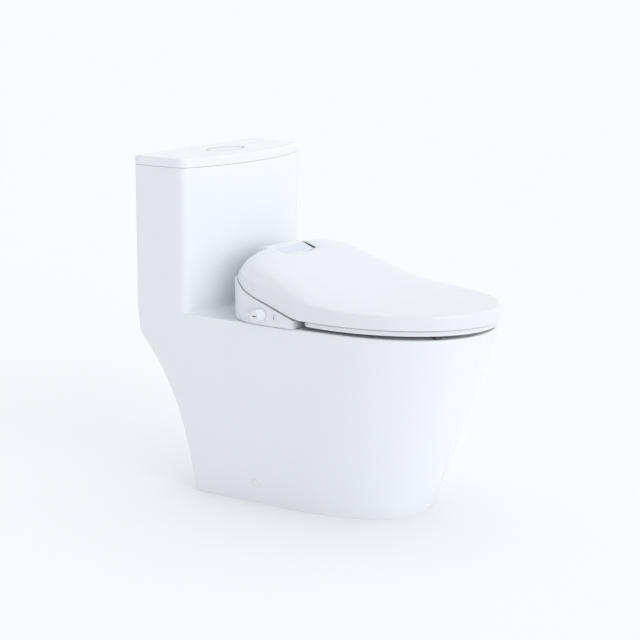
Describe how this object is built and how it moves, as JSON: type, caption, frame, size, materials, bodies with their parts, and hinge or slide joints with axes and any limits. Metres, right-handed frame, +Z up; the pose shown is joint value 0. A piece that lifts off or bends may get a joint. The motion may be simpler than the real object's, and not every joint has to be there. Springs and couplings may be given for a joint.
{
  "type": "smart toilet with heated seat",
  "caption": "One-piece skirted toilet with tank, top flush button, heated bidet seat with soft-close lid, washing wand, dryer and side drain knob.",
  "frame": {"origin": "centre of the drain outlet at floor level, in the plane of symmetry", "axes": "+Z up, -Y towards the front of the bowl, +X to the right seen from the front"},
  "size_m": [0.4233, 0.7485, 0.721],
  "materials": {
    "china": "gloss white glaze",
    "seat_plastic": "gloss white moulding",
    "unit_plastic": "gloss white moulding",
    "panel": "smoked gloss lens",
    "inner_plastic": "moulded",
    "dark_plastic": "moulded",
    "rubber": "soft grey",
    "steel": "brushed",
    "brass": "plain",
    "board": "green laminate",
    "trim": "gloss white cap"
  },
  "bodies": {
    "toilet": {"china_body": "china", "outlet_seal": "rubber", "flush_valve_gasket": "rubber", "floor_brackets": "inner_plastic", "side_fixing_screws": "steel", "bolt_caps": "trim", "flush_valve_base": "inner_plastic", "flush_valve_screws": "steel", "flush_valve_tower": "inner_plastic", "lever_pin": "steel", "fill_valve_body": "inner_plastic", "fill_valve_nut": "inner_plastic", "refill_pipe": "inner_plastic", "unit_base": "unit_plastic", "unit_cover": "unit_plastic", "status_panel": "panel", "seat_base_plate": "inner_plastic", "seat_mount_bolts": "steel", "seat_mount_nuts": "inner_plastic", "filter_socket": "inner_plastic", "water_inlet": "trim", "power_gland": "rubber", "water_heater": "inner_plastic", "inlet_valve": "inner_plastic", "control_board": "board", "board_posts": "brass", "dryer_fan_case": "inner_plastic", "dryer_duct": "inner_plastic", "deodoriser_cartridge": "dark_plastic", "wand_housing": "inner_plastic", "wand_motor": "steel", "hinge_pins": "steel", "lid_damper": "dark_plastic", "seat_damper": "dark_plastic"},
    "tank_lid": {"tank_lid": "china", "flush_bezel": "trim", "bezel_clip": "inner_plastic"},
    "flush_button": {"flush_button": "trim"},
    "flush_lever": {"flush_lever": "inner_plastic"},
    "canister": {"flush_canister": "inner_plastic", "canister_seal": "rubber"},
    "float": {"fill_float": "inner_plastic"},
    "knob": {"filter_drain_knob": "trim", "water_filter": "inner_plastic", "knob_mark": "dark_plastic"},
    "release_button": {"release_button": "unit_plastic", "release_mark": "dark_plastic"},
    "wand": {"wash_wand": "steel", "wand_tip": "inner_plastic", "wand_rack": "inner_plastic", "wand_cap": "unit_plastic"},
    "pinion": {"wand_pinion": "inner_plastic", "motor_shaft": "steel"},
    "impeller": {"dryer_impeller": "dark_plastic"},
    "seat": {"seat_bottom_shell": "seat_plastic", "seat_top_shell": "seat_plastic", "seat_heater": "dark_plastic", "seat_bumpers": "rubber"},
    "lid": {"lid_shell": "seat_plastic", "lid_bumpers": "rubber"}
  },
  "joints": [
    {"name": "seat_hinge", "type": "hinge", "parent": "toilet", "child": "seat", "pos_m": [0, 0.06, 0.498], "axis": [-1, 0, 0], "range_deg": [0, 98]},
    {"name": "lid_hinge", "type": "hinge", "parent": "seat", "child": "lid", "pos_m": [0, 0.06, 0.498], "axis": [1, 0, 0], "range_deg": [-105, 0]},
    {"name": "tank_lid_lift", "type": "slide", "parent": "toilet", "child": "tank_lid", "axis": [0, 0, 1], "range_m": [0, 0.25]},
    {"name": "flush_press", "type": "slide", "parent": "tank_lid", "child": "flush_button", "axis": [0, 0, -1], "range_m": [0, 0.007], "stiffness_N_per_m": 300, "springref_m": -0.006},
    {"name": "flush_lever_rock", "type": "hinge", "parent": "toilet", "child": "flush_lever", "pos_m": [-0.03, 0.205, 0.612], "axis": [0, -1, 0], "range_deg": [0, 28.96]},
    {"name": "canister_lift", "type": "slide", "parent": "toilet", "child": "canister", "axis": [0, 0, 1], "range_m": [0, 0.01501]},
    {"name": "float_rise", "type": "slide", "parent": "toilet", "child": "float", "axis": [0, 0, 1], "range_m": [0, 0.06]},
    {"name": "drain_knob_turn", "type": "hinge", "parent": "toilet", "child": "knob", "pos_m": [-0.2, -0.0374, 0.418], "axis": [-1, 0, 0], "range_deg": [0, 90]},
    {"name": "release_press", "type": "slide", "parent": "toilet", "child": "release_button", "axis": [1, 0, 0], "range_m": [0, 0.004], "stiffness_N_per_m": 200, "springref_m": -0.004},
    {"name": "wand_extend", "type": "slide", "parent": "toilet", "child": "wand", "axis": [0, -0.866, -0.5], "range_m": [0, 0.1]},
    {"name": "pinion_spin", "type": "hinge", "parent": "toilet", "child": "pinion", "pos_m": [0, -0.06462, 0.44185], "axis": [-1, 0, 0], "range_deg": [0, 720]},
    {"name": "impeller_spin", "type": "hinge", "parent": "toilet", "child": "impeller", "pos_m": [-0.098, 0.026, 0.41], "axis": [0, 0, 1], "continuous": true}
  ],
  "couplings": [
    {"joint": "flush_lever_rock", "follows": "flush_press", "rad_per_m": 72.194},
    {"joint": "canister_lift", "follows": "flush_press", "ratio": 2.1429},
    {"joint": "pinion_spin", "follows": "wand_extend", "rad_per_m": 125}
  ]
}
